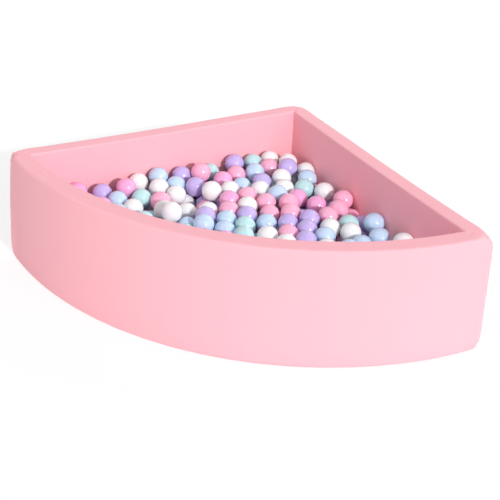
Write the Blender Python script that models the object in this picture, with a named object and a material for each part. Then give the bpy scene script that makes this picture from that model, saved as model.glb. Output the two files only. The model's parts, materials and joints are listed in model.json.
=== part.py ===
"""A quarter-round ball pit that stands in the corner of a room, filled with small plastic balls.

Two straight foam legs and a bent foam arc stand on a base panel and wear a stretch cover, which is
sewn from an outer panel, a rim band and an inner panel for each wall. A foam mat lies inside. Each
straight leg has a zip low on its outside. The top layer's free balls can be lifted out one by one.

Plan places are given as (u, v), measured from the outer back corner along the back leg and the right
leg. World X is CENTRE - u, world Y is CENTRE - v, and Z is up from the floor, in metres.
"""

import math
import random
from typing import Callable, NamedTuple

import bmesh
import bpy
from mathutils import Matrix, Vector

# Overall size
LEG = 1.000
HEIGHT = 0.350

# Wall section
FOAM_THICKNESS = 0.050
SKIN = 0.0020
GAP = 0.0003
WALL_LEAN = 0.009
OUTER_EDGE_RADIUS = 0.013
INNER_EDGE_RADIUS = 0.010
CORNER_EDGE_RADIUS = 0.026
CORNER_REACH = 0.080

# Corners in plan
BACK_CORNER_RADIUS = 0.041
END_CORNER_RADIUS = 0.022
INNER_CORNER_RADIUS = 0.012

# Foot of the walls
LEG_TOE = 0.012
ARC_TOE = 0.0015
TOE_HEIGHT = 0.044

# Floor
BASE_THICKNESS = 0.0020
MAT_THICKNESS = 0.040

# Zip
TAPE_SINK = 0.0008
TAPE_BACK_SINK = 0.0018
TAPE_BOTTOM = 0.0005
TAPE_TOP = 0.0345
COIL_WIDTH = 0.0050
COIL_RISE = 0.0008
COIL_CENTRE = 0.0175
COIL_END_GAP = 0.0180
WINDOW_START = 0.0060
WINDOW_ROOM = 0.0010
STOP_LENGTH = 0.0040
STOP_WIDTH = 0.0070
STOP_RISE = 0.0018

# Zip slider and its pull tab
SLIDER_HOME = 0.085
SLIDER_LENGTH = 0.0120
SLIDER_WIDTH = 0.0090
SLIDER_PLATE = 0.0010
SLIDER_CLEARANCE = 0.0003
SLIDER_CHAMFER = 0.0012
BRIDGE_SPAN = 0.0060
BRIDGE_POST = 0.0012
BRIDGE_WIDTH = 0.0016
BRIDGE_ROOM = 0.0015
BRIDGE_BAR = 0.0008
PULL_LENGTH = 0.0240
PULL_WIDTH = 0.0060
PULL_THICKNESS = 0.0008
PULL_EYE = 0.0046
PULL_END_BAR = 0.0010
PULL_RAIL = 0.0015
PULL_CHAMFER = 0.0015

# Balls
BALL_RADIUS = 0.0305
BALL_GAP = 0.0004
REST_GAP = 0.0005
LINK_DEPTH = 0.006
PACK_FLOOR = 0.0715
CORE_TOP = 0.1745
CORE_ROOM = 0.002
HEAP_TOP = 0.265
LOOSE_BALLS = 30
LOOSE_WALL_ROOM = 0.002

# How the balls settle, in ball radii and in counts
PACK_SEED = 5
PACK_LAYERS = 3
START_PITCH_SHARE = 1.05
LAYER_RISE_SHARE = 0.90
ROW_SHARE = 0.866
SHAKE_SHARE = 2.0
TOP_LAYER_SHARE = 0.90
SINK_SHARE = 0.036
SINK_STEPS = 260
REST_STEPS = 220
CELL_SHARE = 1.08
SHOWING_SHARE = 0.40

# Smoothness, in counts
CORNER_STEPS = 4
REACH_STEPS = 3
ARC_STEPS = 16
EDGE_STEPS = 3
BALL_DETAIL_STEPS = 2
BED_BALL_SIDES = 8
BED_BALL_BAND_STEPS = 4

WALL = FOAM_THICKNESS + 2 * (SKIN + GAP)
MAT_TOP = BASE_THICKNESS + GAP + MAT_THICKNESS + GAP + SKIN
SEAM_ANGLE = math.pi / 4
RIGHT_ANGLE = math.pi / 2
HALF_TURN = math.pi


class Station(NamedTuple):
    """One cross-section of a wall: where an inset lies in plan, and the section's own sizes."""

    place: Callable[[float], tuple[float, float]]
    edge: float
    toe: float
    foot: float


# Scene helpers

def clear_scene():
    for item in list(bpy.data.objects):
        bpy.data.objects.remove(item, do_unlink=True)


def material(name, colour, roughness, metallic=0.0):
    """A Principled material, made once for each name."""
    found = bpy.data.materials.get(name)
    if found:
        return found
    made = bpy.data.materials.new(name)
    made.use_nodes = True
    shader = made.node_tree.nodes["Principled BSDF"]
    shader.inputs["Base Color"].default_value = (*colour, 1)
    shader.inputs["Roughness"].default_value = roughness
    shader.inputs["Metallic"].default_value = metallic
    return made


def foam():
    return material("foam", (0.90, 0.88, 0.80), 0.95)


def jersey():
    return material("pink_jersey", (0.90, 0.53, 0.60), 0.85)


def base_cloth():
    return material("base_cloth", (0.82, 0.50, 0.56), 0.90)


def zip_plastic():
    return material("zip_plastic", (0.86, 0.50, 0.57), 0.50)


def zip_metal():
    return material("zip_metal", (0.86, 0.52, 0.58), 0.35, 0.4)


BALL_COLOURS = (
    ("ball_white", (0.90, 0.90, 0.89), 22),
    ("ball_pink", (0.92, 0.42, 0.58), 20),
    ("ball_rose", (0.88, 0.40, 0.66), 10),
    ("ball_lilac", (0.56, 0.40, 0.80), 22),
    ("ball_blue", (0.50, 0.66, 0.90), 15),
    ("ball_mint", (0.52, 0.82, 0.80), 11),
)


def world(u, v, z):
    """The world point of a plan place at a height."""
    return Vector((CENTRE - u, CENTRE - v, z))


def new_object(name, mesh_data, finish, smooth=True):
    mesh_data.materials.append(finish)
    if smooth:
        mesh_data.shade_smooth()
        mesh_data.set_sharp_from_angle(angle=math.radians(35))
    made = bpy.data.objects.new(name, mesh_data)
    bpy.context.scene.collection.objects.link(made)
    return made


def finish_mesh(name, bm):
    """The bmesh as mesh data, with its faces pointing out."""
    bmesh.ops.recalc_face_normals(bm, faces=bm.faces[:])
    made = bpy.data.meshes.new(name)
    bm.to_mesh(made)
    bm.free()
    return made


# Plan of the pit

def end_centre(inset):
    """Centre and radius of the rounding where the back leg meets the arc, at an inset."""
    radius = max(END_CORNER_RADIUS - inset, INNER_CORNER_RADIUS)
    across = inset + radius
    along = math.sqrt((LEG - inset - radius) ** 2 - across ** 2)
    return along, across, radius


def back_corner_place(share):
    """Round the back corner, from the right leg's side at 0 to the back leg's side at 1."""
    def place(inset):
        radius = max(BACK_CORNER_RADIUS - inset, INNER_CORNER_RADIUS)
        centre = inset + radius
        turn = share * RIGHT_ANGLE
        return centre - radius * math.cos(turn), centre - radius * math.sin(turn)
    return place


def back_leg_place(share):
    """Along the straight back leg, from the back corner at 0 to the left end at 1."""
    def place(inset):
        start = inset + max(BACK_CORNER_RADIUS - inset, INNER_CORNER_RADIUS)
        return start + share * (end_centre(inset)[0] - start), inset
    return place


def end_corner_place(share):
    """Round the left end, from the back leg's side at 0 to the arc's side at 1."""
    def place(inset):
        along, across, radius = end_centre(inset)
        turn = -RIGHT_ANGLE + share * (RIGHT_ANGLE + math.atan2(across, along))
        return along + radius * math.cos(turn), across + radius * math.sin(turn)
    return place


def arc_turn(inset, share):
    """The angle of a place along the arc, from where the end's rounding meets it at this inset."""
    along, across, _ = end_centre(inset)
    start = math.atan2(across, along)
    return start + share * (RIGHT_ANGLE - 2 * start)


def arc_place(share):
    """Along the arc, from the left end at 0 to the right end at 1; away from the ends, every inset
    turns alike, so that the pieces' flat steps lie one behind the other."""
    blend = min(1, min(share, 1 - share) * (LEG - WALL) * RIGHT_ANGLE / CORNER_REACH)

    def place(inset):
        own = arc_turn(inset, share)
        turn = own + blend * (arc_turn(WALL / 2, share) - own)
        return (LEG - inset) * math.cos(turn), (LEG - inset) * math.sin(turn)
    return place


def mirrored(place):
    """The same place on the other side of the pit's diagonal."""
    def other(inset):
        u, v = place(inset)
        return v, u
    return other


def edge_radius(u, v):
    """The outer edge's rounding, which grows near a corner where the cover pulls the foam in."""
    corners = ((0, 0), (LEG, 0), (0, LEG))
    near = min(math.hypot(u - a, v - b) for a, b in corners)
    share = max(0, 1 - near / CORNER_REACH)
    blend = share * share * (3 - 2 * share)
    return OUTER_EDGE_RADIUS + (CORNER_EDGE_RADIUS - OUTER_EDGE_RADIUS) * blend


def station(place, toe, foot=GAP):
    """A section; its foot is the height down to which the outer panel reaches there."""
    return Station(place, edge_radius(*place(WALL_LEAN)), toe, foot)


def run_shares(length, middle_steps):
    """Shares along a run: closer together near its ends, where the edge radius changes."""
    near = [CORNER_REACH / length * k / REACH_STEPS for k in range(REACH_STEPS + 1)]
    start, end = near[-1], 1 - near[-1]
    middle = [start + (end - start) * k / middle_steps for k in range(1, middle_steps)]
    return near + middle + [1 - share for share in reversed(near)]


def leg_stations():
    """The back leg's sections, from the far side of the back corner to the far side of the left end."""
    length = end_centre(0)[0] - BACK_CORNER_RADIUS
    found = [station(back_corner_place(k / CORNER_STEPS), LEG_TOE) for k in range(CORNER_STEPS)]
    window, step = WINDOW_START / length, GAP / length
    for share in run_shares(length, 1):
        inside = window < share < 1 - window
        found.append(station(back_leg_place(share), LEG_TOE, TAPE_TOP + WINDOW_ROOM if inside else GAP))
        if share == 0:
            found.append(station(back_leg_place(window), LEG_TOE))
            found.append(station(back_leg_place(window + step), LEG_TOE, TAPE_TOP + WINDOW_ROOM))
    found.insert(-1, station(back_leg_place(1 - window - step), LEG_TOE, TAPE_TOP + WINDOW_ROOM))
    found.insert(-1, station(back_leg_place(1 - window), LEG_TOE))
    for k in range(1, CORNER_STEPS + 1):
        share = k / CORNER_STEPS
        toe = LEG_TOE + (ARC_TOE - LEG_TOE) * min(1, 2 * share)
        found.append(station(end_corner_place(share), toe))
    return found


def arc_stations():
    """The arc's sections, from the near side of the left end to the near side of the right end."""
    ends = [end_corner_place(k / CORNER_STEPS) for k in range(CORNER_STEPS)]
    run = run_shares((LEG - WALL) * RIGHT_ANGLE, ARC_STEPS)
    places = ends + [arc_place(share) for share in run]
    places += [mirrored(place) for place in reversed(ends)]
    return [station(place, ARC_TOE) for place in places]


def round_stations():
    """One closed turn round the pit, each place once."""
    arc = arc_stations()
    leg = leg_stations()[:-CORNER_STEPS]
    back_end = leg_stations()[-CORNER_STEPS - 1:]
    right_leg = [s._replace(place=mirrored(s.place)) for s in reversed(leg[CORNER_STEPS:])]
    right_end = [s._replace(place=mirrored(s.place)) for s in reversed(back_end)]
    return leg + back_end[1:] + arc[CORNER_STEPS + 1:-CORNER_STEPS] + right_end[:-1] + right_leg


# Section of a wall

def outer_inset(z, toe):
    """How far the wall's outer face lies inside the plan's outline at a height."""
    return WALL_LEAN * z / HEIGHT + toe * max(0, 1 - z / TOE_HEIGHT)


def inner_inset(z):
    return WALL + WALL_LEAN * z / HEIGHT


def edge_arc(centre_inset, radius, start, end):
    """Points (inset, z) on a rounded top edge, between two angles from the outward level."""
    middle = HEIGHT - abs(radius[0])
    turns = [start + (end - start) * k / EDGE_STEPS for k in range(EDGE_STEPS + 1)]
    return [(centre_inset - radius[1] * math.cos(a), middle + radius[1] * math.sin(a)) for a in turns]


def outer_edge(depth, edge, start, end):
    """The wall's rounded outer top edge at a depth below the cover's face."""
    return edge_arc(WALL_LEAN + edge, (edge, edge - depth), start, end)


def inner_edge(depth, start, end):
    """The wall's rounded inner top edge at a depth below the cover's face."""
    centre = WALL_LEAN + WALL - INNER_EDGE_RADIUS
    return edge_arc(centre, (INNER_EDGE_RADIUS, INNER_EDGE_RADIUS - depth), start, end)


def outer_face(depth, toe, foot):
    """The wall's outer face from a foot height up to where the edge's rounding begins."""
    heights = [foot, TOE_HEIGHT] if foot < TOE_HEIGHT else [foot]
    return [(outer_inset(z, toe) + depth, z) for z in heights]


def seam_turn(radius):
    """The angle that half a seam's gap takes on an edge."""
    return GAP / 2 / (radius - SKIN)


def outer_panel_section(s):
    """Closed section of the outer panel, from its foot to the seam on the outer top edge."""
    seam = SEAM_ANGLE - seam_turn(s.edge)
    face = outer_face(0, s.toe, s.foot) + outer_edge(0, s.edge, 0, seam)
    back = outer_face(SKIN, s.toe, s.foot) + outer_edge(SKIN, s.edge, 0, seam)
    return face + back[::-1]


def rim_section(s):
    """Closed section of the rim band, between the seams on the two top edges."""
    outer_seam = SEAM_ANGLE + seam_turn(s.edge)
    inner_seam = HALF_TURN - SEAM_ANGLE - seam_turn(INNER_EDGE_RADIUS)
    lines = []
    for depth in (0, SKIN):
        line = outer_edge(depth, s.edge, outer_seam, RIGHT_ANGLE)
        lines.append(line + inner_edge(depth, RIGHT_ANGLE, inner_seam))
    return lines[0] + lines[1][::-1]


def inner_panel_section(_):
    """Closed section of the inner panel, from the seam on the inner top edge to the base."""
    seam = HALF_TURN - SEAM_ANGLE + seam_turn(INNER_EDGE_RADIUS)
    foot = BASE_THICKNESS + GAP
    lines = []
    for depth in (0, SKIN):
        line = inner_edge(depth, seam, HALF_TURN)
        lines.append(line + [(inner_inset(foot) - depth, foot)])
    return lines[0] + lines[1][::-1]


def foam_section(s):
    """Closed section of the foam wall inside the cover."""
    depth = SKIN + GAP
    foot = BASE_THICKNESS + GAP
    line = outer_face(depth, s.toe, foot) + outer_edge(depth, s.edge, 0, RIGHT_ANGLE)
    line += inner_edge(depth, RIGHT_ANGLE, HALF_TURN)
    return line + [(inner_inset(foot) - depth, foot)]


# Walls

def loft(stations, section):
    """A tube of one section's outline through the stations, open at both ends."""
    bm = bmesh.new()
    rings = []
    for s in stations:
        rings.append([bm.verts.new(world(*s.place(inset), z)) for inset, z in section(s)])
    for here, there in zip(rings, rings[1:]):
        for k in range(len(here)):
            n = (k + 1) % len(here)
            bm.faces.new((here[k], here[n], there[n], there[k]))
    return bm


def cut(bm, point, normal):
    """Cuts away what lies on the normal's side of a plane and closes the cut."""
    geometry = bm.verts[:] + bm.edges[:] + bm.faces[:]
    done = bmesh.ops.bisect_plane(bm, geom=geometry, plane_co=point, plane_no=normal, clear_outer=True)
    edges = [item for item in done["geom_cut"] if isinstance(item, bmesh.types.BMEdge)]
    bmesh.ops.contextual_create(bm, geom=edges)


def diagonal_mitre():
    """A point on the back corner's mitre, and its normal towards the right leg."""
    return world(0, 0, 0), (world(0, 1, 0) - world(1, 0, 0)).normalized()


def end_mitre():
    """A point on the left end's mitre, and its normal towards the arc."""
    inner = math.sqrt((LEG - WALL) ** 2 - WALL ** 2)
    start = world(LEG, 0, 0)
    along = world(inner, WALL, 0) - start
    return start, along.cross(Vector((0, 0, 1))).normalized()


def leg_mesh(name, section, room=GAP / 2):
    """The back leg's piece with this section, cut at both of its mitres."""
    bm = loft(leg_stations(), section)
    corner, towards_right = diagonal_mitre()
    cut(bm, corner - towards_right * room, towards_right)
    end, towards_arc = end_mitre()
    cut(bm, end - towards_arc * room, towards_arc)
    return finish_mesh(name, bm)


def mirror_mesh(name, mesh_data):
    """The same piece for the right leg: X and Y change places."""
    made = mesh_data.copy()
    made.name = name
    made.transform(Matrix(((0, 1, 0, 0), (1, 0, 0, 0), (0, 0, 1, 0), (0, 0, 0, 1))))
    made.flip_normals()
    return made


def arc_mesh(name, section, room=GAP / 2):
    """The arc's piece with this section, cut at both of its mitres."""
    bm = loft(arc_stations(), section)
    end, towards_arc = end_mitre()
    cut(bm, end + towards_arc * room, -towards_arc)
    other = Vector((towards_arc.y, towards_arc.x, 0))
    cut(bm, Vector((end.y, end.x, 0)) + other * room, -other)
    return finish_mesh(name, bm)


def add_wall(stem, section, finish):
    """A piece of the back leg, its mirror image on the right leg, and the arc's piece."""
    back = leg_mesh(stem + "_back", section)
    new_object(stem + "_right", mirror_mesh(stem + "_right", back), finish)
    new_object(stem + "_back", back, finish)
    new_object(stem + "_arc", arc_mesh(stem + "_arc", section), finish)


def add_walls():
    add_wall("foam_wall", foam_section, foam())
    add_wall("cover_outer", outer_panel_section, jersey())
    add_wall("cover_rim", rim_section, jersey())
    add_wall("cover_inner", inner_panel_section, jersey())


# Floor

def ring(bm, inset, z):
    """One turn of vertices round the pit at an inset and a height."""
    return [bm.verts.new(world(*s.place(inset), z)) for s in round_stations()]


def band(bm, low, high):
    for k in range(len(low)):
        n = (k + 1) % len(low)
        bm.faces.new((low[k], low[n], high[n], high[k]))


def add_slab(name, low, high, finish):
    """A slab between two turns, each an inset and a height."""
    bm = bmesh.new()
    rings = [ring(bm, *low), ring(bm, *high)]
    band(bm, *rings)
    for edge in rings:
        bm.faces.new(edge)
    new_object(name, finish_mesh(name, bm), finish)


def add_base():
    """The panel under everything: it reaches the inside of the outer panels and of the zip tapes."""
    bm = bmesh.new()
    rings = []
    for z in (0, BASE_THICKNESS):
        places = [s.place(outer_inset(0, s.toe) + SKIN + GAP) for s in round_stations()]
        rings.append([bm.verts.new(world(*place, z)) for place in places])
    band(bm, *rings)
    for edge in rings:
        bm.faces.new(edge)
    new_object("cover_base", finish_mesh("cover_base", bm), base_cloth())


def add_floor_cover():
    """The floor cover: a sheet over the mat whose hem goes down the mat's side."""
    foot = BASE_THICKNESS + GAP
    sheet = MAT_TOP - SKIN
    bm = bmesh.new()
    outside = [ring(bm, inner_inset(z) + GAP, z) for z in (foot, MAT_TOP)]
    inside = [ring(bm, inner_inset(z) + GAP + SKIN, z) for z in (foot, sheet)]
    band(bm, *outside)
    band(bm, *inside)
    band(bm, outside[0], inside[0])
    bm.faces.new(outside[1])
    bm.faces.new(inside[1])
    new_object("cover_floor", finish_mesh("cover_floor", bm), jersey())


def add_floor():
    add_base()
    foot = BASE_THICKNESS + GAP
    top = foot + MAT_THICKNESS
    room = GAP + SKIN + GAP
    low = (inner_inset(foot) + room, foot)
    add_slab("foam_floor_mat", low, (inner_inset(top) + room, top), foam())
    add_floor_cover()


# Zips

def zip_frame(u):
    """The back leg's zip at a place along it: along the leg, up the toe, and out, with its origin."""
    slope = WALL_LEAN / HEIGHT - LEG_TOE / TOE_HEIGHT
    along = Vector((-1, 0, 0))
    up = Vector((0, -slope, 1)).normalized()
    out = along.cross(up)
    return world(u, outer_inset(COIL_CENTRE, LEG_TOE), COIL_CENTRE), along, up, out


def cell_mesh(name, steps, filled, move=None):
    """A solid of the filled cells of a box grid; steps are the grid's breaks on its three axes."""
    bm = bmesh.new()
    made = {}

    def vertex(place):
        if place not in made:
            point = Vector([steps[axis][place[axis]] for axis in range(3)])
            made[place] = bm.verts.new(move(point) if move else point)
        return made[place]

    counts = [len(line) - 1 for line in steps]
    cells = [(i, j, k) for i in range(counts[0]) for j in range(counts[1]) for k in range(counts[2])]
    solid = {cell for cell in cells if filled(*cell)}
    for cell in sorted(solid):
        for axis in range(3):
            for side in (0, 1):
                beyond = list(cell)
                beyond[axis] += 2 * side - 1
                if tuple(beyond) in solid:
                    continue
                a, b = (axis + 1) % 3, (axis + 2) % 3
                corners = []
                for p, q in ((0, 0), (1, 0), (1, 1), (0, 1)):
                    place = list(cell)
                    place[axis] += side
                    place[a] += p
                    place[b] += q
                    corners.append(vertex(tuple(place)))
                bm.faces.new(corners)
    return finish_mesh(name, bm)


def slider_mesh(name):
    """The slider: a plate over the coil, a flange down each side of it, and a bridge for the pull."""
    post = BRIDGE_SPAN / 2 + BRIDGE_POST
    channel = COIL_WIDTH / 2 + SLIDER_CLEARANCE
    plate = COIL_RISE + SLIDER_CLEARANCE
    lines = (
        (-SLIDER_LENGTH / 2, -post, -BRIDGE_SPAN / 2, BRIDGE_SPAN / 2, post, SLIDER_LENGTH / 2),
        (-SLIDER_WIDTH / 2, -channel, -BRIDGE_WIDTH / 2, BRIDGE_WIDTH / 2, channel, SLIDER_WIDTH / 2),
        (0, plate, plate + SLIDER_PLATE, plate + SLIDER_PLATE + BRIDGE_ROOM,
         plate + SLIDER_PLATE + BRIDGE_ROOM + BRIDGE_BAR),
    )

    def filled(i, j, k):
        flange = k == 0 and j in (0, 4)
        bridge_post = k == 2 and j == 2 and i in (1, 3)
        bridge_bar = k == 3 and j == 2 and i in (1, 2, 3)
        return flange or k == 1 or bridge_post or bridge_bar

    def taper(point):
        at_end = abs(point.x) > SLIDER_LENGTH / 2 - GAP
        at_side = abs(point.y) > SLIDER_WIDTH / 2 - GAP
        if at_end and at_side:
            point.y -= math.copysign(SLIDER_CHAMFER, point.y)
        return point

    return cell_mesh(name, lines, filled, taper)


def pull_mesh(name):
    """The pull tab, from its end bar at the origin: two rails round an eye, then the grip."""
    eye_start = PULL_END_BAR / 2
    eye_end = eye_start + PULL_EYE
    rail = PULL_WIDTH / 2 - PULL_RAIL
    lines = (
        (-PULL_END_BAR / 2, eye_start, eye_end, PULL_LENGTH - PULL_CHAMFER, PULL_LENGTH),
        (-PULL_WIDTH / 2, -rail, rail, PULL_WIDTH / 2),
        (-PULL_THICKNESS / 2, PULL_THICKNESS / 2),
    )

    def filled(i, j, _):
        return not (i == 1 and j == 1)

    def taper(point):
        at_tip = point.x > PULL_LENGTH - GAP
        at_side = abs(point.y) > PULL_WIDTH / 2 - GAP
        if at_tip and at_side:
            point.y -= math.copysign(PULL_CHAMFER / 2, point.y)
        return point

    return cell_mesh(name, lines, filled, taper)


def place_on_zip(mesh_data, u, rise):
    """Turns a zip part's mesh to the back leg's zip, and returns where its own origin comes."""
    origin, along, up, out = zip_frame(u)
    turn = Matrix((along, up, out)).transposed().to_4x4()
    mesh_data.transform(turn)
    return origin + out * rise


def add_pair(stem, mesh_data, origin, finish):
    """A part of the back leg's zip and its mirror image on the right leg, each about its own origin."""
    right = new_object(stem + "_right", mirror_mesh(stem + "_right", mesh_data), finish, smooth=False)
    right.location = (origin.y, origin.x, origin.z)
    back = new_object(stem + "_back", mesh_data, finish, smooth=False)
    back.location = origin


def tape_ends():
    """Where the tape starts and ends along the leg, inside the outer panel's window."""
    room = WINDOW_START + 2 * GAP
    return BACK_CORNER_RADIUS + room, end_centre(TAPE_BACK_SINK + LEG_TOE)[0] - room


def zip_ends():
    """Where the coil starts and ends along the leg."""
    return BACK_CORNER_RADIUS + COIL_END_GAP, end_centre(0)[0] - COIL_END_GAP


def strip_along_zip(stem, start, end, width, low, high, finish):
    """A straight bar along the zip, between two rises above the outer face."""
    lines = ((0, end - start), (-width / 2, width / 2), (low, high))
    bar = cell_mesh(stem + "_back", lines, lambda i, j, k: True)
    origin = place_on_zip(bar, start, 0)
    add_pair(stem, bar, origin, finish)


def add_zips():
    left, right = tape_ends()
    low_edge, high_edge = ((z - COIL_CENTRE) / zip_frame(0)[2].z for z in (TAPE_BOTTOM, TAPE_TOP))
    lines = ((0, right - left), (low_edge, high_edge), (-TAPE_BACK_SINK, -TAPE_SINK))
    tape = cell_mesh("zip_tape_back", lines, lambda i, j, k: True)
    add_pair("zip_tape", tape, place_on_zip(tape, left, 0), zip_plastic())
    start, end = zip_ends()
    coil_end = end - STOP_LENGTH - GAP
    low = GAP - TAPE_SINK
    strip_along_zip("zip_coil", start, coil_end, COIL_WIDTH, low, COIL_RISE, zip_plastic())
    strip_along_zip("zip_stop", coil_end + GAP, end, STOP_WIDTH, low, STOP_RISE, zip_metal())
    slider = slider_mesh("zip_slider_back")
    add_pair("zip_slider", slider, place_on_zip(slider, SLIDER_HOME, 0), zip_metal())
    pull = pull_mesh("zip_pull_back")
    bar_rise = COIL_RISE + SLIDER_CLEARANCE + SLIDER_PLATE + BRIDGE_ROOM / 2
    add_pair("zip_pull", pull, place_on_zip(pull, SLIDER_HOME, bar_rise), zip_metal())


# Balls

def least_inset(z):
    """The least inset of a ball's centre, at a height, from the outline of the pit."""
    return inner_inset(z) + BALL_RADIUS + BALL_GAP


def arc_reach(edge):
    """How far from the back corner a ball may lie: the arc's flat steps come in a little midway."""
    return (LEG - edge) * math.cos(RIGHT_ANGLE / ARC_STEPS / 2)


def start_heap():
    """Ball centres in shaken layers of rows, as (u, v, z), spread wider than they will lie."""
    rng = random.Random(PACK_SEED)
    pitch = 2 * BALL_RADIUS * START_PITCH_SHARE
    first = inner_inset(HEIGHT) + BALL_RADIUS + BALL_GAP
    shake = SHAKE_SHARE * BALL_RADIUS
    heap = []
    for layer in range(PACK_LAYERS):
        z = PACK_FLOOR + BALL_RADIUS + layer * pitch * LAYER_RISE_SHARE
        v = first
        row = layer
        while v < LEG:
            u = first + (pitch / 2 if row % 2 else 0)
            while u < LEG:
                inside = u * u + v * v < (LEG - first) * (LEG - first)
                if inside and (layer < PACK_LAYERS - 1 or rng.random() < TOP_LAYER_SHARE):
                    heap.append([at + (rng.random() - 1 / 2) * shake for at in (u, v, z)])
                u += pitch
            v += pitch * ROW_SHARE
            row += 1
    return heap


def near_pairs(heap, cell):
    """Pairs of balls in the same or touching cells of a grid."""
    grid = {}
    for index, ball in enumerate(heap):
        key = tuple(int(at / cell) for at in ball)
        grid.setdefault(key, []).append(index)
    for index, ball in enumerate(heap):
        i, j, k = (int(at / cell) for at in ball)
        for a in (i - 1, i, i + 1):
            for b in (j - 1, j, j + 1):
                for c in (k - 1, k, k + 1):
                    for other in grid.get((a, b, c), ()):
                        if other > index:
                            yield ball, heap[other]


def push_apart(heap, reach):
    """Moves every two balls that are too close away from each other by equal amounts."""
    for a, b in near_pairs(heap, reach * CELL_SHARE):
        x, y, z = a[0] - b[0], a[1] - b[1], a[2] - b[2]
        square = x * x + y * y + z * z
        if 0 < square < reach * reach:
            distance = math.sqrt(square)
            push = (reach - distance) / distance / 2
            for axis, by in enumerate((x, y, z)):
                a[axis] += by * push
                b[axis] -= by * push


def keep_inside(ball):
    """Moves a ball back above the packing's floor and inside the walls."""
    ball[2] = max(ball[2], PACK_FLOOR + BALL_RADIUS)
    edge = least_inset(ball[2])
    ball[0] = max(ball[0], edge)
    ball[1] = max(ball[1], edge)
    reach = math.sqrt(ball[0] * ball[0] + ball[1] * ball[1])
    if reach > arc_reach(edge):
        ball[0] *= arc_reach(edge) / reach
        ball[1] *= arc_reach(edge) / reach


def settled_heap():
    """Where the balls lie: they sink a little at each step while they push each other apart."""
    heap = start_heap()
    sink = SINK_SHARE * BALL_RADIUS
    for step in range(SINK_STEPS + REST_STEPS):
        if step < SINK_STEPS:
            for ball in heap:
                ball[2] -= sink
        push_apart(heap, 2 * (BALL_RADIUS + BALL_GAP))
        for ball in heap:
            keep_inside(ball)
    return heap


def can_lift(ball, heap):
    """Whether nothing stands above a ball, and the leaning walls leave it room."""
    reach = 2 * BALL_RADIUS + REST_GAP
    for other in heap:
        if other[2] > ball[2] and math.hypot(other[0] - ball[0], other[1] - ball[1]) < reach:
            return False
    edge = least_inset(HEIGHT) + LOOSE_WALL_ROOM
    inside = math.hypot(ball[0], ball[1]) < arc_reach(edge)
    return inside and ball[0] > edge and ball[1] > edge


def sort_heap():
    """The loose balls, highest first, and the bedded ones that show above the bed's core. A ball that
    was thrown up above the heap's top is left out."""
    heap = sorted(settled_heap(), key=lambda ball: -ball[2])
    heap = [ball for ball in heap if ball[2] < HEAP_TOP - BALL_RADIUS]
    free = [ball for ball in heap if can_lift(ball, heap)]
    loose = free[:LOOSE_BALLS]
    showing = CORE_TOP - (1 - SHOWING_SHARE) * BALL_RADIUS
    bedded = [ball for ball in heap if ball not in loose and showing < ball[2]]
    return loose, bedded


def rest_balls(loose):
    """The ball that each loose one lies on: straight below it, so that the two all but touch."""
    return [(u, v, z - 2 * BALL_RADIUS - REST_GAP) for u, v, z in loose]


def link_balls(bedded):
    """Below each bedded ball that the core doesn't reach, the ball that joins it to the core."""
    high = [ball for ball in bedded if ball[2] - BALL_RADIUS > CORE_TOP - LINK_DEPTH]
    return [(u, v, z - 2 * BALL_RADIUS + LINK_DEPTH) for u, v, z in high]


def ball_mesh(name):
    bm = bmesh.new()
    bmesh.ops.create_icosphere(bm, subdivisions=BALL_DETAIL_STEPS, radius=BALL_RADIUS)
    return finish_mesh(name, bm)


def ball_finish(index):
    """The colour of a ball by its number: the shares stay true in every run of a hundred."""
    step = (index * 37) % 100
    for name, colour, share in BALL_COLOURS:
        if step < share:
            return material(name, colour, 0.25)
        step -= share
    return material(BALL_COLOURS[0][0], BALL_COLOURS[0][1], 0.25)


def add_helper(name, bm, finish):
    """A mesh that only takes part in another node's Boolean."""
    made = new_object(name, finish_mesh(name, bm), finish, smooth=False)
    made.hide_render = True
    made.display_type = "WIRE"
    return made


def add_boolean(target, name, operation, helper, crossing):
    step = target.modifiers.new(name, "BOOLEAN")
    step.operation = operation
    step.solver = "EXACT"
    step.use_self = crossing
    step.object = helper


def ball_meshes(balls):
    bm = bmesh.new()
    for ball in balls:
        place = Matrix.Translation(world(*ball))
        bmesh.ops.create_uvsphere(bm, u_segments=BED_BALL_SIDES, v_segments=BED_BALL_BAND_STEPS,
                                  radius=BALL_RADIUS, matrix=place)
    return bm


def add_bed(loose, bedded):
    """The heap below: a core that fills the pit's floor, joined with every ball that shows above it."""
    core = bmesh.new()
    low = ring(core, inner_inset(CORE_TOP) + CORE_ROOM, MAT_TOP + GAP)
    high = ring(core, inner_inset(CORE_TOP) + CORE_ROOM, CORE_TOP)
    band(core, low, high)
    core.faces.new(low)
    core.faces.new(high)
    finish = material(*BALL_COLOURS[0][:2], 0.25)
    bed = new_object("ball_bed", finish_mesh("ball_bed", core), finish, smooth=False)
    joined = bedded + rest_balls(loose) + link_balls(bedded)
    balls = add_helper("bedded_helper", ball_meshes(joined), finish)
    add_boolean(bed, "joined_balls", "UNION", balls, True)


def add_balls():
    loose, bedded = sort_heap()
    add_bed(loose, bedded)
    for index, ball in enumerate(loose):
        name = f"ball_{index + 1:02d}"
        made = new_object(name, ball_mesh(name), ball_finish(index))
        made.location = world(*ball)


CENTRE = (outer_inset(TOE_HEIGHT, 0) + end_corner_place(1)(outer_inset(TOE_HEIGHT, 0))[0]) / 2

clear_scene()
add_walls()
add_floor()
add_zips()
add_balls()
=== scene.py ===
"""A quarter-round corner ball pit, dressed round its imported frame.

The pit has padded walls in a pale pink stretch cover, a floor mat, two zips low on its straight sides
and a heap of small glossy balls. Plan places are (u, v) from the outer back corner along the two
straight legs; world X is the plan's centre less u, world Y is the centre less v, in metres.
"""

import json
import logging
import math
import random
from contextlib import contextmanager
from dataclasses import dataclass
from enum import Enum
from typing import Iterator, Sequence

import bpy
import numpy as np
from mathutils import Matrix, Vector, noise

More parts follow.
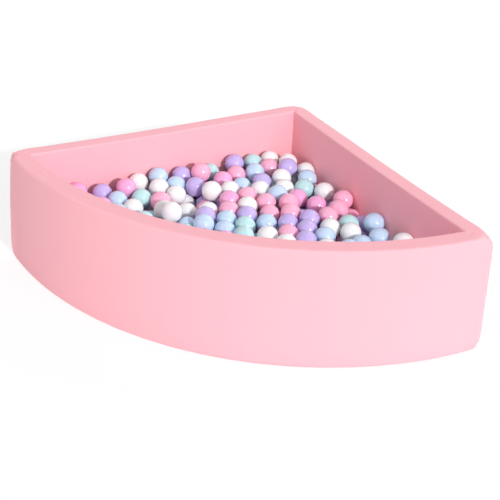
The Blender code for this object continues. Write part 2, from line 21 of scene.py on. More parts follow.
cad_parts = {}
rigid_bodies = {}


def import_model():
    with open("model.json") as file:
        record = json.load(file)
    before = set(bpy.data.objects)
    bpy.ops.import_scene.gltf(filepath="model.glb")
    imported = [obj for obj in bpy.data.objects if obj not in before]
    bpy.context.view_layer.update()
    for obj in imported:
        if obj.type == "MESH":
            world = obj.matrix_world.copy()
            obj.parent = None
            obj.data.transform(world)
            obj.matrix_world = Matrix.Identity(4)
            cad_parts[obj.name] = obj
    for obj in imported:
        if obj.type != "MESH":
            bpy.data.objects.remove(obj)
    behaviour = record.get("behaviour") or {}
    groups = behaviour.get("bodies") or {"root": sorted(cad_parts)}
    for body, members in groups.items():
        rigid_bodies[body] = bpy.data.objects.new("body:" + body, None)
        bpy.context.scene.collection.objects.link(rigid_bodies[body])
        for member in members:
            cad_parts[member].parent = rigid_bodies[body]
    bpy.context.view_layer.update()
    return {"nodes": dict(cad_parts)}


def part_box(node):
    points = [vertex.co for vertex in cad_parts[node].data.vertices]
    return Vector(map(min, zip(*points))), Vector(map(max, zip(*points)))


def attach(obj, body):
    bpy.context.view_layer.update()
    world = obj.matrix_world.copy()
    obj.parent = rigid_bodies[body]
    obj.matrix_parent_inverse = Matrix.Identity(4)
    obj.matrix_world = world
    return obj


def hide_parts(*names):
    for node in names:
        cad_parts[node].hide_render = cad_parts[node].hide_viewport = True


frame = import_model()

log = logging.getLogger("ball_pit")

Pair = tuple[float, float]
Colour = tuple[float, float, float]
Piece = bpy.types.Object
Finish = bpy.types.Material
Tree = bpy.types.NodeTree
Node = bpy.types.Node
Socket = bpy.types.NodeSocket

ROOT_BODY = "pit"
RIGHT_ANGLE = math.pi / 2
HALF_TURN = math.pi
WELD = 0.00002


class Wall(Enum):
    """The pit's three walls."""

    BACK = "back"
    RIGHT = "right"
    ARC = "arc"


class Panel(Enum):
    """The three panels that a wall's cover is sewn from."""

    OUTER = "outer"
    RIM = "rim"
    INNER = "inner"


class Stretch(Enum):
    """The stretches of the outline, from the back corner along the back leg and round the arc."""

    CORNER = "back corner"
    LEG = "back leg"
    LEFT_END = "left end"
    ARC = "arc"
    RIGHT_END = "right end"


class ZipPart(Enum):
    """The parts of a zip."""

    TAPE = "tape"
    COIL = "coil"
    STOP = "stop"
    SLIDER = "slider"
    PULL = "pull"


# Finishes

def add_node(tree: Tree, kind: str, **values: object) -> Node:
    """Adds a node and sets its properties.

    Args:
        tree: The tree to add it to.
        kind: The node's type name.
        values: Properties by name.

    Returns:
        The node.
    """
    made = tree.nodes.new(kind)
    for name, value in values.items():
        setattr(made, name, value)
    return made


def set_inputs(node: Node, **values: object) -> None:
    """Sets a node's inputs by name, with underscores for spaces."""
    for name, value in values.items():
        node.inputs[name.replace("_", " ")].default_value = value


def wire(tree: Tree, *pairs: tuple[Socket, Socket]) -> None:
    """Links pairs of sockets, each from an output to an input."""
    for start, end in pairs:
        tree.links.new(start, end)


def math_node(tree: Tree, operation: str, *values: Socket | float) -> Socket:
    """Adds a Math node.

    Args:
        tree: The tree to add it to.
        operation: The Math node's operation.
        values: What its inputs take, sockets or numbers.

    Returns:
        The node's output socket.
    """
    made = add_node(tree, "ShaderNodeMath", operation=operation)
    for socket, value in zip(made.inputs, values):
        if isinstance(value, Socket):
            tree.links.new(value, socket)
        else:
            socket.default_value = value
    return made.outputs[0]


def new_material(name: str, **values: object) -> tuple[Finish, Node]:
    """Makes a material with one Principled shader.

    Args:
        name: The material's name.
        values: The shader's inputs by name, with underscores for spaces.

    Returns:
        The material and its shader.
    """
    made = bpy.data.materials.new(name)
    made.use_nodes = True
    shader = made.node_tree.nodes["Principled BSDF"]
    set_inputs(shader, **values)
    return made, shader


def new_group(name: str, inputs: dict[str, float], outputs: Sequence[str]) -> tuple[Tree, Node, Node]:
    """Makes an empty shader node group, whose sockets are all numbers.

    Args:
        name: The group's name.
        inputs: Default value by input name.
        outputs: The outputs' names.

    Returns:
        The group, its input node and its output node.
    """
    group = bpy.data.node_groups.new(name, "ShaderNodeTree")
    for title, value in inputs.items():
        socket = group.interface.new_socket(title, in_out="INPUT", socket_type="NodeSocketFloat")
        socket.default_value = value
    for title in outputs:
        group.interface.new_socket(title, in_out="OUTPUT", socket_type="NodeSocketFloat")
    return group, add_node(group, "NodeGroupInput"), add_node(group, "NodeGroupOutput")


def knit_group(clouds_per_metre: float = 9, cloud_detail: float = 4) -> Tree:
    """A fine knit on a cloth's own UV map, in metres: wales and courses, and a little unevenness.

    Args:
        clouds_per_metre: How close together the uneven patches lie.
        cloud_detail: How finely they are broken up.

    Returns:
        The group, with a Height output between -1 and 1 and a Tone output round 1.
    """
    counts = {"Wales per metre": 800, "Courses per metre": 900}
    group, start, end = new_group("fine_knit", {**counts, "Unevenness": 0.02}, ("Height", "Tone"))
    cloth = add_node(group, "ShaderNodeUVMap", uv_map="cloth").outputs[0]
    split = add_node(group, "ShaderNodeSeparateXYZ")
    cloud = add_node(group, "ShaderNodeTexNoise")
    set_inputs(cloud, Scale=clouds_per_metre, Detail=cloud_detail)
    wire(group, (cloth, split.inputs[0]), (cloth, cloud.inputs["Vector"]))
    waves = []
    for axis, title in zip("XY", counts):
        turns = math_node(group, "MULTIPLY", split.outputs[axis], start.outputs[title])
        waves.append(math_node(group, "SINE", math_node(group, "MULTIPLY", turns, 2 * math.pi)))
    spread = math_node(group, "SUBTRACT", cloud.outputs["Fac"], 0.5)
    change = math_node(group, "MULTIPLY", spread, start.outputs["Unevenness"])
    wire(group, (math_node(group, "MULTIPLY", *waves), end.inputs["Height"]),
         (math_node(group, "ADD", change, 1), end.inputs["Tone"]))
    return group


def pore_group() -> Tree:
    """Small pits on Object coordinates, for foam and the speckle of a woven base.

    Returns:
        The group, with a Height output.
    """
    group, start, end = new_group("pores", {"Pores per metre": 700}, ("Height",))
    place = add_node(group, "ShaderNodeTexCoord")
    cells = add_node(group, "ShaderNodeTexVoronoi", feature="F1")
    wire(group, (place.outputs["Object"], cells.inputs["Vector"]),
         (start.outputs["Pores per metre"], cells.inputs["Scale"]),
         (cells.outputs["Distance"], end.inputs["Height"]))
    return group


def parting_group() -> Tree:
    """The mould's parting line round a ball, from the distance that the ball's attribute holds.

    Returns:
        The group, with a Height output that is 1 on the line and 0 away from it.
    """
    group, start, end = new_group("parting_line", {"Half width": 0.0006}, ("Height",))
    away = add_node(group, "ShaderNodeAttribute", attribute_name="parting")
    reach = math_node(group, "ABSOLUTE", away.outputs["Fac"])
    share = math_node(group, "DIVIDE", reach, start.outputs["Half width"])
    line = math_node(group, "SUBTRACT", 1, math_node(group, "MINIMUM", share, 1))
    wire(group, (line, end.inputs["Height"]))
    return group


def add_pattern(shader: Node, group: Tree, distance: float, **values: float) -> Node:
    """Places a pattern's node group in a material and bumps its shader with the Height.

    Args:
        shader: The material's Principled shader.
        group: The pattern's node group.
        distance: The bump's distance in metres.
        values: The group's inputs by name, with underscores for spaces.

    Returns:
        The group's node.
    """
    tree = shader.id_data
    made = add_node(tree, "ShaderNodeGroup", node_tree=group)
    set_inputs(made, **values)
    bump = add_node(tree, "ShaderNodeBump")
    set_inputs(bump, Distance=distance, Strength=1)
    wire(tree, (made.outputs["Height"], bump.inputs["Height"]),
         (bump.outputs["Normal"], shader.inputs["Normal"]))
    return made


@dataclass(frozen=True)
class KnitFinish:
    """Matt stretch knit."""

    name: str
    colour: Colour
    roughness: float = 0.85
    specular: float = 0.2
    sheen: float = 0.06
    sheen_roughness: float = 0.5
    loop_depth: float = 0.00004
    unevenness: float = 0.02

    def make(self, knit: Tree) -> Finish:
        """Makes the material.

        Args:
            knit: The knit's node group.

        Returns:
            The material.
        """
        made, shader = new_material(
            self.name, Roughness=self.roughness, Specular_IOR_Level=self.specular,
            Sheen_Weight=self.sheen, Sheen_Roughness=self.sheen_roughness)
        pattern = add_pattern(shader, knit, self.loop_depth, Unevenness=self.unevenness)
        tone = add_node(made.node_tree, "ShaderNodeMix", data_type="RGBA", blend_type="MULTIPLY")
        set_inputs(tone, Factor=1, A=(*self.colour, 1))
        wire(made.node_tree, (pattern.outputs["Tone"], tone.inputs["B"]),
             (tone.outputs["Result"], shader.inputs["Base Color"]))
        return made


@dataclass(frozen=True)
class PoreFinish:
    """Foam or coarse woven cloth, with small pits."""

    name: str
    colour: Colour
    pores: float
    depth: float
    roughness: float = 0.95
    specular: float = 0.2

    def make(self, pore: Tree) -> Finish:
        """Makes the material.

        Args:
            pore: The pores' node group.

        Returns:
            The material.
        """
        made, shader = new_material(self.name, Base_Color=(*self.colour, 1), Roughness=self.roughness,
                                    Specular_IOR_Level=self.specular)
        add_pattern(shader, pore, self.depth, Pores_per_metre=self.pores)
        return made


@dataclass(frozen=True)
class BallFinish:
    """Blown polyethylene with a soft gloss; of a hundred balls its share have this colour."""

    slot: str
    colour: Colour
    share: int
    roughness: float = 0.17
    subsurface: float = 0.50
    subsurface_radius: Colour = (1.0, 0.8, 0.8)
    subsurface_scale: float = 0.018
    line_height: float = 0.00025

    def make(self, parting: Tree) -> Finish:
        """Makes the material.

        Args:
            parting: The parting line's node group.

        Returns:
            The material.
        """
        made, shader = new_material(
            self.slot + "_gloss", Base_Color=(*self.colour, 1), Roughness=self.roughness,
            Subsurface_Weight=self.subsurface, Subsurface_Radius=self.subsurface_radius,
            Subsurface_Scale=self.subsurface_scale)
        add_pattern(shader, parting, self.line_height)
        return made


@dataclass(frozen=True)
class HardFinish:
    """Moulded plastic or enamelled metal, dyed to match the cover."""

    name: str
    colour: Colour
    roughness: float
    coat: float = 0.0

    def make(self) -> Finish:
        """Makes the material."""
        return new_material(self.name, Base_Color=(*self.colour, 1), Roughness=self.roughness,
                            Coat_Weight=self.coat)[0]


JERSEY = KnitFinish("pink_knit", (0.90, 0.445, 0.50))
BASE_WEAVE = PoreFinish("base_weave", (0.80, 0.47, 0.53), pores=1100, depth=0.0002)
OPEN_FOAM = PoreFinish("open_foam", (0.88, 0.84, 0.72), pores=600, depth=0.0008)
ZIP_NYLON = HardFinish("pink_nylon", (0.83, 0.47, 0.54), roughness=0.5)
ZIP_ENAMEL = HardFinish("pink_enamel", (0.80, 0.46, 0.53), roughness=0.3, coat=0.4)
BALL_FINISHES = (
    BallFinish("ball_white", (0.81, 0.81, 0.82), 24),
    BallFinish("ball_pink", (0.88, 0.42, 0.58), 19),
    BallFinish("ball_rose", (0.82, 0.38, 0.63), 11),
    BallFinish("ball_lilac", (0.52, 0.43, 0.77), 23),
    BallFinish("ball_blue", (0.51, 0.66, 0.85), 14),
    BallFinish("ball_mint", (0.47, 0.71, 0.73), 9),
)


# Mesh helpers

def add_object(name: str, data: bpy.types.ID) -> Piece:
    """Puts a new object with this data in the scene.

    Args:
        name: The object's name.
        data: Its mesh, camera or light.

    Returns:
        The object.
    """
    made = bpy.data.objects.new(name, data)
    bpy.context.scene.collection.objects.link(made)
    return made


def deselect_all() -> None:
    """Leaves edit mode and deselects every object."""
    if bpy.context.object and bpy.context.object.mode != "OBJECT":
        bpy.ops.object.mode_set(mode="OBJECT")
    bpy.ops.object.select_all(action="DESELECT")


def make_active(piece: Piece, *others: Piece) -> None:
    """Selects pieces alone and makes the first one active.

    Args:
        piece: The piece to make active.
        others: More pieces to select.
    """
    deselect_all()
    for one in (piece, *others):
        one.select_set(True)
    bpy.context.view_layer.objects.active = piece


@contextmanager
def editing(piece: Piece) -> Iterator[None]:
    """Edit mode on one piece, with all of it selected at the start.

    Args:
        piece: The piece.

    Yields:
        Nothing; edit mode ends with the block.
    """
    make_active(piece)
    bpy.ops.object.mode_set(mode="EDIT")
    bpy.ops.mesh.select_all(action="SELECT")
    yield
    bpy.ops.object.mode_set(mode="OBJECT")


def apply_modifiers(piece: Piece) -> None:
    """Applies every modifier of a piece, first to last.

    Args:
        piece: The piece.
    """
    make_active(piece)
    for step in list(piece.modifiers):
        bpy.ops.object.modifier_apply(modifier=step.name)


def ease_edges(piece: Piece, width: float, segments: int) -> None:
    """Adds a bevel on a piece's sharp edges.

    Args:
        piece: The piece.
        width: The bevel's width.
        segments: How many facets it has.
    """
    bevel = piece.modifiers.new("edges", "BEVEL")
    bevel.width = width
    bevel.segments = segments


def smooth(piece: Piece, angle: float = 40) -> None:
    """Shades a piece smooth, with edges sharper than an angle in degrees kept."""
    make_active(piece)
    bpy.ops.object.shade_smooth_by_angle(angle=math.radians(angle))


def join(pieces: Sequence[Piece], name: str) -> Piece:
    """Joins pieces.

    Args:
        pieces: The pieces; the others go into the first.
        name: The name that the first one gets.

    Returns:
        The joined piece.
    """
    make_active(*pieces)
    bpy.ops.object.join()
    pieces[0].name = name
    return pieces[0]


def mirror(piece: Piece, name: str) -> Piece:
    """Copies a piece of the back leg to the right leg: X and Y change places.

    Args:
        piece: The piece.
        name: The copy's name.

    Returns:
        The copy.
    """
    made = add_object(name, piece.data.copy())
    made.data.transform(Matrix(((0, 1, 0, 0), (1, 0, 0, 0), (0, 0, 1, 0), (0, 0, 0, 1))))
    made.data.flip_normals()
    return made


def mirror_over(piece: Piece) -> Piece:
    """Puts a piece's mirrored copy in its place.

    Args:
        piece: The piece, which is removed.

    Returns:
        The copy, under the piece's name.
    """
    name = piece.name
    piece.name = "turned"
    made = mirror(piece, name)
    bpy.data.objects.remove(piece)
    return made


def dress(piece: Piece, finish: Finish) -> None:
    """Gives a piece one finish."""
    piece.data.materials.clear()
    piece.data.materials.append(finish)


def settle(piece: Piece, finish: Finish, node: str, slot: str, body: str = ROOT_BODY) -> None:
    """Dresses a piece and has it stand for a CAD node.

    Args:
        piece: The piece.
        finish: Its finish.
        node: The CAD node.
        slot: Not used.
        body: The body that the piece rides on.
    """
    dress(piece, finish)
    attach(piece, body)
    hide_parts(node)


def size_of(piece: Piece) -> list[float]:
    """A piece's size along X, Y and Z."""
    return [max(axis) - min(axis) for axis in zip(*(vertex.co for vertex in piece.data.vertices))]


def surface_area(piece: Piece) -> float:
    """The area of all of a piece's faces."""
    return sum(face.area for face in piece.data.polygons)


def copy_of_node(node: str, name: str) -> Piece:
    """Copies a CAD node's mesh into a new piece and welds its loose triangles.

    Args:
        node: The CAD node's name.
        name: The new piece's name.

    Returns:
        The piece, with no parent.
    """
    made = add_object(name, frame["nodes"][node].data.copy())
    with editing(made):
        bpy.ops.mesh.remove_doubles(threshold=WELD)
        bpy.ops.mesh.tris_convert_to_quads(face_threshold=math.radians(1), shape_threshold=HALF_TURN)
    return made


def laid_grid(name: str, points: np.ndarray, along: np.ndarray, across: np.ndarray) -> Piece:
    """Lays a grid on a surface, with its UV map on the cloth, in metres.

    Args:
        name: The piece's name.
        points: The surface's points (column, row, xyz).
        along: Lengths along, by column.
        across: Lengths across, by column and row.

    Returns:
        The piece.
    """
    columns, rows = points.shape[:2]
    deselect_all()
    bpy.ops.mesh.primitive_grid_add(x_subdivisions=columns - 1, y_subdivisions=rows - 1, size=2)
    piece = bpy.context.object
    piece.name = name
    mesh = piece.data
    flat = np.zeros(len(mesh.vertices) * 3)
    mesh.vertices.foreach_get("co", flat)
    i, j = (np.rint((flat[axis::3] + 1) / 2 * (count - 1)).astype(int)
            for axis, count in enumerate((columns, rows)))
    mesh.vertices.foreach_set("co", points[i, j].ravel())
    corner = np.zeros(len(mesh.loops), int)
    mesh.loops.foreach_get("vertex_index", corner)
    layer = mesh.uv_layers[0] if mesh.uv_layers else mesh.uv_layers.new()
    layer.name = "cloth"
    place = np.stack([along[i[corner]], across[i[corner], j[corner]]], axis=1)
    layer.data.foreach_set("uv", place.ravel())
    mesh.update()
    return piece


def grown_marks(length: float, fine: float, coarse: float, growth: float = 1.3) -> list[float]:
    """Marks along a length whose steps grow from fine at both ends to coarse midway.

    Args:
        length: The whole length.
        fine: The step at the ends.
        coarse: The greatest step.
        growth: How much each step grows.

    Returns:
        The marks, from 0 to the length.
    """
    half = [0.0]
    step = fine
    while half[-1] + step < length / 2:
        half.append(half[-1] + step)
        step = min(coarse, step * growth)
    scale = (length / 2) / (half[-1] + step / 2)
    half = [mark * scale for mark in half]
    return half + [length - mark for mark in reversed(half)]


def smooth_share(share: float) -> float:
    """Eases a share between 0 and 1 in and out."""
    share = min(1.0, max(0.0, share))
    return share * share * (3 - 2 * share)


def edge_line(centre: Pair, radius: float, start: float, end: float, count: int) -> list[Pair]:
    """Points on a rounded edge of a section.

    Args:
        centre: The rounding's centre (inset, z).
        radius: Its radius.
        start: The first point's turn upwards from straight out, in degrees.
        end: The last point's turn.
        count: How many points.

    Returns:
        The points (inset, z).
    """
    turns = np.linspace(math.radians(start), math.radians(end), count)
    return [(centre[0] - radius * math.cos(a), centre[1] + radius * math.sin(a)) for a in turns]


# Shape of the pit

@dataclass
class Station:
    """A wall's cross-section at a share of a stretch. Its swell and sag are shares of the shape's."""

    stretch: Stretch
    share: float
    toe: float
    swell: float = 1.0
    sag: float = 0.0


@dataclass(frozen=True)
class PitShape:
    """The pit's plan and wall section, as its frame has them. The swells tell, by height, how far the
    cover stands out at an end's face; they fade out between two insets."""

    leg: float = 1.000
    height: float = 0.350
    wall: float = 0.0546
    lean: float = 0.009
    leg_edge: float = 0.013
    arc_edge: float = 0.007
    inner_edge: float = 0.0035
    edge_points: int = 9
    foot_edge: float = 0.010
    foot_start: float = 0.001
    foot_points: int = 6
    corner_edge: float = 0.032
    corner_reach: float = 0.075
    back_corner: float = 0.041
    end_corner: float = 0.022
    inner_corner: float = 0.003
    leg_toe: float = 0.012
    arc_toe: float = 0.0035
    toe_height: float = 0.044
    foot: float = 0.0003
    inner_foot: float = 0.0023
    skin: float = 0.0020
    swell_reach: float = 0.065
    swell_fade: Pair = (0.012, 0.045)
    left_swell: tuple[Pair, ...] = (
        (0, 0), (0.023, 0.0049), (0.04, 0.0058), (0.075, 0.0066), (0.126, 0.0041), (0.194, 0.0015),
        (0.262, -0.0013), (0.296, -0.0050), (0.323, -0.0072), (0.336, -0.0091), (0.35, -0.0110))
    right_swell: tuple[Pair, ...] = (
        (0, -0.0035), (0.013, 0.0040), (0.032, 0.0092), (0.064, 0.0098), (0.127, 0.0090), (0.191, 0.0075),
        (0.255, 0.0072), (0.30, 0.0066), (0.318, 0.0055), (0.334, 0.0015), (0.35, -0.005))
    sag: float = 0.0035
    sag_power: int = 4
    centre: float = 0.49987362

    @property
    def arc_length(self) -> float:
        """The arc's length along the middle of its wall."""
        return (self.leg - self.wall / 2) * RIGHT_ANGLE

    def world(self, u: float, v: float, z: float) -> Vector:
        """The world point of a plan place at a height."""
        return Vector((self.centre - u, self.centre - v, z))

    def end_rounding(self, inset: float) -> tuple[float, float, float]:
        """The rounding between the back leg and the arc.

        Args:
            inset: The inset from the pit's outline.

        Returns:
            Its centre (u, v) and its radius.
        """
        radius = max(self.end_corner - inset, self.inner_corner)
        across = inset + radius
        return math.sqrt((self.leg - inset - radius) ** 2 - across ** 2), across, radius

    def place(self, station: Station, inset: float) -> Pair:
        """The plan place of a cross-section's point.

        Args:
            station: The cross-section.
            inset: The point's inset from the pit's outline.

        Returns:
            The place (u, v).
        """
        share = station.share
        radius = max(self.back_corner - inset, self.inner_corner)
        if station.stretch is Stretch.CORNER:
            turn = share * RIGHT_ANGLE
            return inset + radius * (1 - math.cos(turn)), inset + radius * (1 - math.sin(turn))
        along, across, end_radius = self.end_rounding(inset)
        if station.stretch is Stretch.LEG:
            start = inset + radius
            return start + share * (along - start), inset
        start = math.atan2(across, along)
        if station.stretch is Stretch.ARC:
            turn = start + share * (RIGHT_ANGLE - 2 * start)
            return (self.leg - inset) * math.cos(turn), (self.leg - inset) * math.sin(turn)
        turn = share * (RIGHT_ANGLE + start) - RIGHT_ANGLE
        found = along + end_radius * math.cos(turn), across + end_radius * math.sin(turn)
        return found if station.stretch is Stretch.LEFT_END else found[::-1]

    def edge_radius(self, station: Station) -> float:
        """The outer top edge's rounding, which grows towards the three corners.

        Args:
            station: The cross-section.

        Returns:
            The radius.
        """
        u, v = self.place(station, self.lean)
        near = min(math.hypot(u - a, v - b) for a, b in ((0, 0), (self.leg, 0), (0, self.leg)))
        along = smooth_share((self.leg - self.end_corner - math.hypot(u, v)) / (2 * self.wall))
        edge = self.arc_edge + (self.leg_edge - self.arc_edge) * along
        return edge + (self.corner_edge - edge) * smooth_share(1 - near / self.corner_reach)

    def edge_centres(self, edge: float) -> tuple[Pair, Pair]:
        """The centres (inset, z) of the outer and the inner top edge's rounding."""
        return ((self.lean + edge, self.height - edge),
                (self.lean + self.wall - self.inner_edge, self.height - self.inner_edge))

    def face_inset(self, z: float, toe: float) -> float:
        """How far in the outer face lies at a height.

        Args:
            z: The height.
            toe: How far it comes in at the floor.

        Returns:
            The inset from the pit's outline.
        """
        found = self.lean * z / self.height + toe * max(0.0, 1 - z / self.toe_height)
        below = max(0.0, self.foot_edge - z)
        turned = self.foot_edge - math.sqrt(self.foot_edge ** 2 - below ** 2)
        return found + turned * (self.leg_toe - toe) / (self.leg_toe - self.arc_toe)

    def lying(self, station: Station, inset: float, z: float, wall: Wall) -> Vector:
        """The world point of a section's point: the ends swell out low down and the legs sag a little.

        Args:
            station: The cross-section.
            inset: The point's inset.
            z: Its height.
            wall: Its wall; RIGHT is made as BACK, with the right end's swell.

        Returns:
            The point.
        """
        u, v = self.place(station, self.lean)
        left, right = math.hypot(u - self.leg, v), math.hypot(u, v - self.leg)
        table = self.right_swell if wall is Wall.RIGHT or right < left else self.left_swell
        share = smooth_share(1 - min(left, right) / self.swell_reach) * station.swell
        face = float(np.interp(inset, self.swell_fade, (1, 0)))
        inset -= share * face * float(np.interp(z, *zip(*table)))
        drop = self.sag * station.sag * (z / self.height) ** self.sag_power
        return self.world(*self.place(station, inset), z - drop)

    def section(self, panel: Panel, edge: float, toe: float) -> list[Pair]:
        """The corner points of a panel's section, from one border to the other.

        Args:
            panel: Which panel.
            edge: The outer top edge's rounding.
            toe: How far the outer face comes in at the floor.

        Returns:
            Points (inset, z), close together on the rounded edges.
        """
        (outer, inner), count = self.edge_centres(edge), self.edge_points
        if panel is Panel.OUTER:
            low = np.linspace(self.foot_start, self.foot_edge, self.foot_points)
            heights = (self.foot, *low, self.toe_height)
            return [(self.face_inset(z, toe), z) for z in heights] + edge_line(outer, edge, 0, 45, count)
        if panel is Panel.RIM:
            return (edge_line(outer, edge, 45, 90, count)
                    + edge_line(inner, self.inner_edge, 90, 135, count))
        foot = (self.wall + self.lean * self.inner_foot / self.height, self.inner_foot)
        return edge_line(inner, self.inner_edge, 135, 180, count) + [foot]


# Cover

@dataclass(frozen=True)
class CoverSewing:
    """How the cover lies: its seams, its puckers and its slight unevenness. The puckers near a mitre
    tilt with the length along it and wander a little."""

    edge_seam_depth: float = 0.0004
    edge_seam_width: float = 0.0022
    hem_height: float = 0.0065
    hem_depth: float = 0.0007
    hem_width: float = 0.0014
    mitre_depth: float = 0.0008
    mitre_width: float = 0.0032
    pucker_depth: float = 0.0005
    pucker_pitch: float = 0.013
    pucker_reach: float = 0.022
    pucker_tilt: float = 0.7
    pucker_wander: float = 1.7
    wanders_per_metre: float = 61
    wave_depth: float = 0.0009
    wave_length: float = 0.19
    fine_wave_depth: float = 0.00025
    fine_wave_length: float = 0.035

    def wave(self, point: np.ndarray) -> float:
        """How far the slight waves lift the cover at a point."""
        return (self.wave_depth * noise.noise(Vector(point) / self.wave_length)
                + self.fine_wave_depth * noise.noise(Vector(point) / self.fine_wave_length))


@dataclass
class Cover:
    """The stretch cover: an outer panel, a rim band and an inner panel for each wall.

    The window is the zip's, from u to u, in the straight walls' outer panels. The walls' stations go
    past their mitres by all but a few of the steps round a corner.
    """

    shape: PitShape
    sewing: CoverSewing
    window: Pair
    window_top: float = 0.0355
    window_row_share: float = 0.006
    fine_step: float = 0.0020
    coarse_step: float = 0.010
    corner_steps: int = 22
    corner_steps_left: int = 7
    end_steps_left: int = 5
    swell_start: float = 0.45
    row_fine: float = 0.0009
    row_coarse: float = 0.012
    rim_row_coarse: float = 0.004
    hem_rows: int = 13
    seam_gap: float = 0.00005
    core_height_share: float = 0.9
    sharp_angle: float = 50

    def end_stations(self, shares: Sequence[float], stretch: Stretch) -> list[Station]:
        """The cross-sections round one end of the arc.

        Args:
            shares: Shares of the end's turn, from the straight leg at 0 to the arc at 1.
            stretch: LEFT_END or RIGHT_END.

        Returns:
            The cross-sections.
        """
        change = self.shape.arc_toe - self.shape.leg_toe
        return [Station(stretch, share, self.shape.leg_toe + change * min(1.0, 2 * share),
                        smooth_share(share / self.swell_start)) for share in shares]

    def stations(self, wall: Wall) -> list[Station]:
        """A wall's cross-sections, from a little before its first mitre to a little past its last.

        Args:
            wall: Which wall; RIGHT is made as BACK.

        Returns:
            The cross-sections, in order along the wall.
        """
        shape = self.shape
        turns = [k / self.corner_steps for k in range(self.corner_steps)]
        length = shape.arc_length if wall is Wall.ARC else shape.end_rounding(0)[0] - shape.back_corner
        shares = [mark / length for mark in grown_marks(length, self.fine_step, self.coarse_step)]
        if wall is Wall.ARC:
            turns = turns[self.end_steps_left:]
            return (self.end_stations(turns, Stretch.LEFT_END)
                    + [Station(Stretch.ARC, share, shape.arc_toe) for share in shares]
                    + self.end_stations(turns[::-1], Stretch.RIGHT_END))
        sides = {(u - shape.back_corner) / length for u in self.window}
        room = self.row_fine / length
        clear = {share for share in shares if min(abs(share - side) for side in sides) > room}
        return ([Station(Stretch.CORNER, share, shape.leg_toe, 0) for share in turns[self.corner_steps_left:]]
                + [Station(Stretch.LEG, share, shape.leg_toe, 0, math.sin(share * HALF_TURN))
                   for share in sorted(clear | sides)]
                + self.end_stations(turns[1:-self.end_steps_left], Stretch.LEFT_END))

    def rows(self, panel: Panel) -> list[float]:
        """Where a panel's rows lie across it.

        Args:
            panel: Which panel.

        Returns:
            Shares of its section's length.
        """
        line = self.shape.section(panel, self.shape.leg_edge, self.shape.leg_toe)
        length = sum(math.dist(a, b) for a, b in zip(line, line[1:]))
        coarse = self.rim_row_coarse if panel is Panel.RIM else self.row_coarse
        shares = [mark / length for mark in grown_marks(length, self.row_fine, coarse)]
        if panel is Panel.OUTER:
            top = (self.window_top - self.shape.foot) / length
            hem = [k * self.row_fine / length for k in range(self.hem_rows)]
            shares = hem + [share for share in shares if share > hem[-1] + self.row_fine / length]
            shares = sorted({share for share in shares if abs(share - top) > self.window_row_share} | {top})
        return shares

    def surface(self, wall: Wall, panel: Panel) -> tuple[np.ndarray, np.ndarray, np.ndarray, np.ndarray]:
        """The panel's smooth surface as a grid of points.

        Args:
            wall: Which wall; RIGHT is made as BACK.
            panel: Which panel.

        Returns:
            Points (station, row, xyz), lengths along, lengths across, and points inside the wall.
        """
        shape, stations, rows = self.shape, self.stations(wall), self.rows(panel)
        points = np.zeros((len(stations), len(rows), 3))
        core = np.zeros((len(stations), 1, 3))
        across = np.zeros((len(stations), len(rows)))
        for i, station in enumerate(stations):
            line = np.array(shape.section(panel, shape.edge_radius(station), station.toe))
            reach = np.concatenate([[0], np.cumsum(np.linalg.norm(np.diff(line, axis=0), axis=1))])
            for j, share in enumerate(rows):
                across[i, j] = share * reach[-1]
                inset, z = (float(np.interp(across[i, j], reach, line[:, axis])) for axis in (0, 1))
                points[i, j] = shape.lying(station, inset, z, wall)
            core[i, 0] = shape.world(*shape.place(station, shape.wall / 2 + shape.lean / 2),
                                     shape.height * self.core_height_share)
        steps = np.linalg.norm(np.diff(points, axis=0), axis=2).mean(axis=1)
        return points, np.concatenate([[0], np.cumsum(steps)]), across, core

    def mitre_planes(self, wall: Wall) -> list[tuple[Vector, Vector]]:
        """The upright planes where the wall's panels end.

        Args:
            wall: Which wall; RIGHT is made as BACK.

        Returns:
            A point and the normal away from the wall, for each plane.
        """
        shape = self.shape
        inner = math.sqrt((shape.leg - shape.wall) ** 2 - shape.wall ** 2)
        end = shape.world(shape.leg, 0, 0)
        along = shape.world(inner, shape.wall, 0) - end
        towards_arc = along.cross(Vector((0, 0, 1))).normalized()
        if wall is Wall.ARC:
            return [(end, -towards_arc), (end.yxz, -towards_arc.yxz)]
        diagonal = (shape.world(0, 1, 0) - shape.world(1, 0, 0)).normalized()
        return [(shape.world(0, 0, 0), diagonal), (end, towards_arc)]

    def trim(self, wall: Wall, gap: float, fill: bool = False) -> None:
        """Cuts the piece that is in edit mode off a little before the wall's mitres, and selects it all.

        Args:
            wall: Which wall; RIGHT is made as BACK.
            gap: How far before a mitre the piece ends.
            fill: Whether to close the cuts.
        """
        for point, outwards in self.mitre_planes(wall):
            bpy.ops.mesh.select_all(action="SELECT")
            bpy.ops.mesh.bisect(plane_co=point - outwards * gap, plane_no=outwards, use_fill=fill,
                                clear_outer=True)
        bpy.ops.mesh.select_all(action="SELECT")

